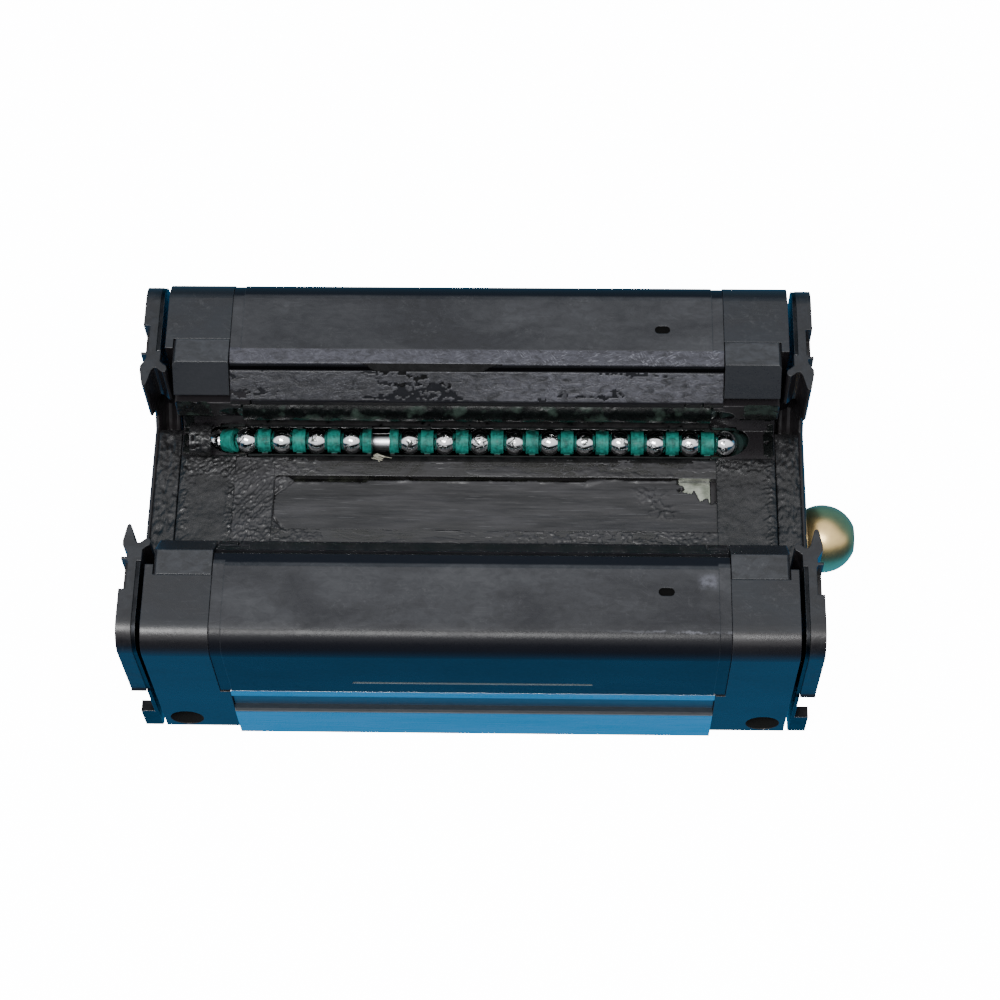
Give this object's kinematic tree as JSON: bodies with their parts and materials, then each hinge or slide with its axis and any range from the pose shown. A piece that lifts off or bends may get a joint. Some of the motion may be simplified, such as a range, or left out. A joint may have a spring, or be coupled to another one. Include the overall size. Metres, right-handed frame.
{
  "type": "linear guide carriage",
  "caption": "Low-profile recirculating-ball carriage for a profile rail: steel block, black resin caps and covers, caged ball rows, end seals and grease nipple.",
  "frame": {"origin": "centre of the mounting face", "axes": "+X along the rail, -Z out of the mounting face, so the rail channel opens towards +Z"},
  "size_m": [0.0842, 0.048, 0.025],
  "materials": {
    "ground_steel": "ground satin steel, brighter on the reference faces",
    "black_resin": "injection-moulded black resin, satin",
    "seal_rubber": "black nitrile rubber, semi-matte",
    "plate_steel": "thin stamped steel",
    "ball_steel": "polished bearing steel under a film of grease",
    "cage_resin": "glossy green polymer chain",
    "guide_resin": "natural acetal",
    "screw_steel": "black-oxide steel",
    "nipple_brass": "polished brass",
    "spring_steel": "drawn spring wire",
    "grease": "dark used grease, wet gloss"
  },
  "bodies": {
    "carriage": {"steel_block": "ground_steel", "floor_retainer": "black_resin", "plug_screw": "screw_steel", "nipple_body": "nipple_brass", "nipple_spring": "spring_steel", "casing_far": "black_resin", "bottom_seal_far": "black_resin", "return_tube_far": "guide_resin", "casing_near": "black_resin", "bottom_seal_near": "black_resin", "return_tube_near": "guide_resin", "end_cap_right": "black_resin", "leg_insert_right_far": "black_resin", "leg_insert_right_near": "black_resin", "floor_row_guides_right": "guide_resin", "waist_row_guides_right": "guide_resin", "end_seal_right": "seal_rubber", "seal_plate_right": "plate_steel", "end_screws_right": "screw_steel", "end_cap_left": "black_resin", "leg_insert_left_far": "black_resin", "leg_insert_left_near": "black_resin", "floor_row_guides_left": "guide_resin", "waist_row_guides_left": "guide_resin", "end_seal_left": "seal_rubber", "seal_plate_left": "plate_steel", "end_screws_left": "screw_steel"},
    "floor_row_far_loaded": {"floor_row_far_loaded_balls": "ball_steel", "floor_row_far_loaded_chain": "cage_resin"},
    "floor_row_far_turn_right": {"floor_row_far_turn_right_balls": "ball_steel", "floor_row_far_turn_right_chain": "cage_resin"},
    "floor_row_far_return": {"floor_row_far_return_balls": "ball_steel", "floor_row_far_return_chain": "cage_resin"},
    "floor_row_far_turn_left": {"floor_row_far_turn_left_balls": "ball_steel", "floor_row_far_turn_left_chain": "cage_resin"},
    "floor_row_near_loaded": {"floor_row_near_loaded_balls": "ball_steel", "floor_row_near_loaded_chain": "cage_resin"},
    "floor_row_near_turn_right": {"floor_row_near_turn_right_balls": "ball_steel", "floor_row_near_turn_right_chain": "cage_resin"},
    "floor_row_near_return": {"floor_row_near_return_balls": "ball_steel", "floor_row_near_return_chain": "cage_resin"},
    "floor_row_near_turn_left": {"floor_row_near_turn_left_balls": "ball_steel", "floor_row_near_turn_left_chain": "cage_resin"},
    "waist_row_far_loaded": {"waist_row_far_loaded_balls": "ball_steel", "waist_row_far_loaded_chain": "cage_resin"},
    "waist_row_far_turn_right": {"waist_row_far_turn_right_balls": "ball_steel", "waist_row_far_turn_right_chain": "cage_resin"},
    "waist_row_far_return": {"waist_row_far_return_balls": "ball_steel", "waist_row_far_return_chain": "cage_resin"},
    "waist_row_far_turn_left": {"waist_row_far_turn_left_balls": "ball_steel", "waist_row_far_turn_left_chain": "cage_resin"},
    "waist_row_near_loaded": {"waist_row_near_loaded_balls": "ball_steel", "waist_row_near_loaded_chain": "cage_resin"},
    "waist_row_near_turn_right": {"waist_row_near_turn_right_balls": "ball_steel", "waist_row_near_turn_right_chain": "cage_resin"},
    "waist_row_near_return": {"waist_row_near_return_balls": "ball_steel", "waist_row_near_return_chain": "cage_resin"},
    "waist_row_near_turn_left": {"waist_row_near_turn_left_balls": "ball_steel", "waist_row_near_turn_left_chain": "cage_resin"},
    "nipple_check": {"nipple_check_ball": "ball_steel"}
  },
  "joints": [
    {"name": "floor_row_far_run", "type": "slide", "parent": "carriage", "child": "floor_row_far_loaded", "axis": [1, 0, 0], "range_m": [-0.0012, 0.0012]},
    {"name": "floor_row_far_return_run", "type": "slide", "parent": "carriage", "child": "floor_row_far_return", "axis": [-1, 0, 0], "range_m": [-0.0013, 0.0013]},
    {"name": "floor_row_far_turn_right_roll", "type": "hinge", "parent": "carriage", "child": "floor_row_far_turn_right", "pos_m": [0.0276, 0.00968, 0.00971], "axis": [0, 0.91, 0.4147], "range_deg": [-17.75, 17.75]},
    {"name": "floor_row_far_turn_left_roll", "type": "hinge", "parent": "carriage", "child": "floor_row_far_turn_left", "pos_m": [-0.0276, 0.00968, 0.00971], "axis": [0, 0.91, 0.4147], "range_deg": [-17.75, 17.75]},
    {"name": "floor_row_near_run", "type": "slide", "parent": "carriage", "child": "floor_row_near_loaded", "axis": [1, 0, 0], "range_m": [-0.0012, 0.0012]},
    {"name": "floor_row_near_return_run", "type": "slide", "parent": "carriage", "child": "floor_row_near_return", "axis": [-1, 0, 0], "range_m": [-0.0013, 0.0013]},
    {"name": "floor_row_near_turn_right_roll", "type": "hinge", "parent": "carriage", "child": "floor_row_near_turn_right", "pos_m": [0.0276, -0.00968, 0.00971], "axis": [0, 0.91, -0.4147], "range_deg": [-17.75, 17.75]},
    {"name": "floor_row_near_turn_left_roll", "type": "hinge", "parent": "carriage", "child": "floor_row_near_turn_left", "pos_m": [-0.0276, -0.00968, 0.00971], "axis": [0, 0.91, -0.4147], "range_deg": [-17.75, 17.75]},
    {"name": "waist_row_far_run", "type": "slide", "parent": "carriage", "child": "waist_row_far_loaded", "axis": [1, 0, 0], "range_m": [-0.0012, 0.0012]},
    {"name": "waist_row_far_return_run", "type": "slide", "parent": "carriage", "child": "waist_row_far_return", "axis": [-1, 0, 0], "range_m": [-0.0013, 0.0013]},
    {"name": "waist_row_far_turn_right_roll", "type": "hinge", "parent": "carriage", "child": "waist_row_far_turn_right", "pos_m": [0.0276, 0.0155, 0.01959], "axis": [0, -0.2588, 0.9659], "range_deg": [-13.58, 13.58]},
    {"name": "waist_row_far_turn_left_roll", "type": "hinge", "parent": "carriage", "child": "waist_row_far_turn_left", "pos_m": [-0.0276, 0.0155, 0.01959], "axis": [0, -0.2588, 0.9659], "range_deg": [-13.58, 13.58]},
    {"name": "waist_row_near_run", "type": "slide", "parent": "carriage", "child": "waist_row_near_loaded", "axis": [1, 0, 0], "range_m": [-0.0012, 0.0012]},
    {"name": "waist_row_near_return_run", "type": "slide", "parent": "carriage", "child": "waist_row_near_return", "axis": [-1, 0, 0], "range_m": [-0.0013, 0.0013]},
    {"name": "waist_row_near_turn_right_roll", "type": "hinge", "parent": "carriage", "child": "waist_row_near_turn_right", "pos_m": [0.0276, -0.0155, 0.01959], "axis": [0, -0.2588, -0.9659], "range_deg": [-13.58, 13.58]},
    {"name": "waist_row_near_turn_left_roll", "type": "hinge", "parent": "carriage", "child": "waist_row_near_turn_left", "pos_m": [-0.0276, -0.0155, 0.01959], "axis": [0, -0.2588, -0.9659], "range_deg": [-13.58, 13.58]},
    {"name": "nipple_check_slide", "type": "slide", "parent": "carriage", "child": "nipple_check", "axis": [-1, 0, 0], "range_m": [0, 0.0008], "stiffness_N_per_m": 300, "springref_m": -0.0006, "deforming": ["nipple_spring"]}
  ],
  "couplings": [
    {"joint": "floor_row_far_return_run", "follows": "floor_row_far_run", "ratio": 1},
    {"joint": "floor_row_far_turn_right_roll", "follows": "floor_row_far_run", "rad_per_m": 246.5},
    {"joint": "floor_row_far_turn_left_roll", "follows": "floor_row_far_run", "rad_per_m": 246.5},
    {"joint": "floor_row_near_return_run", "follows": "floor_row_near_run", "ratio": 1},
    {"joint": "floor_row_near_turn_right_roll", "follows": "floor_row_near_run", "rad_per_m": 246.5},
    {"joint": "floor_row_near_turn_left_roll", "follows": "floor_row_near_run", "rad_per_m": 246.5},
    {"joint": "waist_row_far_return_run", "follows": "waist_row_far_run", "ratio": 1},
    {"joint": "waist_row_far_turn_right_roll", "follows": "waist_row_far_run", "rad_per_m": 185.84},
    {"joint": "waist_row_far_turn_left_roll", "follows": "waist_row_far_run", "rad_per_m": 185.84},
    {"joint": "waist_row_near_return_run", "follows": "waist_row_near_run", "ratio": 1},
    {"joint": "waist_row_near_turn_right_roll", "follows": "waist_row_near_run", "rad_per_m": 185.84},
    {"joint": "waist_row_near_turn_left_roll", "follows": "waist_row_near_run", "rad_per_m": 185.84}
  ]
}
